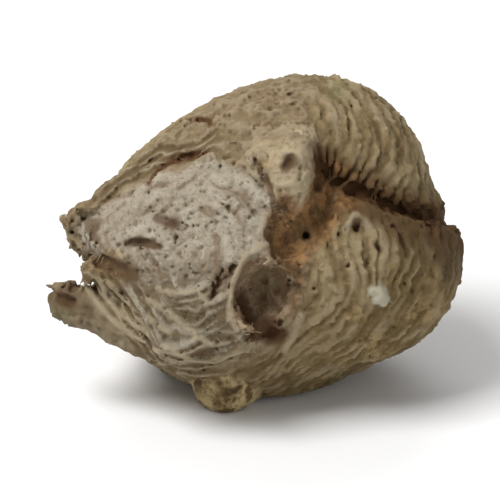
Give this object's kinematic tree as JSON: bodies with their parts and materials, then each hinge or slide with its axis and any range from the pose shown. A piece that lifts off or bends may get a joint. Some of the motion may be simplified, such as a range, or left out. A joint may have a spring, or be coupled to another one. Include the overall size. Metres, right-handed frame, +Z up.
{
  "type": "mantis egg case",
  "caption": "Hardened foam egg case of a mantis, off its twig: a ridged oval lump with a pale broken end and a furrow the young hatch through.",
  "frame": {"origin": "middle of the bounding box, on the ground that the case rests on", "axes": "+Z up, +X to the right along the longest side when the broken end is seen from the front, +Y away from that viewer"},
  "size_m": [0.036, 0.028, 0.0266],
  "materials": {
    "set_foam": "rough, dull, set foam"
  },
  "bodies": {
    "root": {"egg_case": "set_foam"}
  },
  "joints": []
}
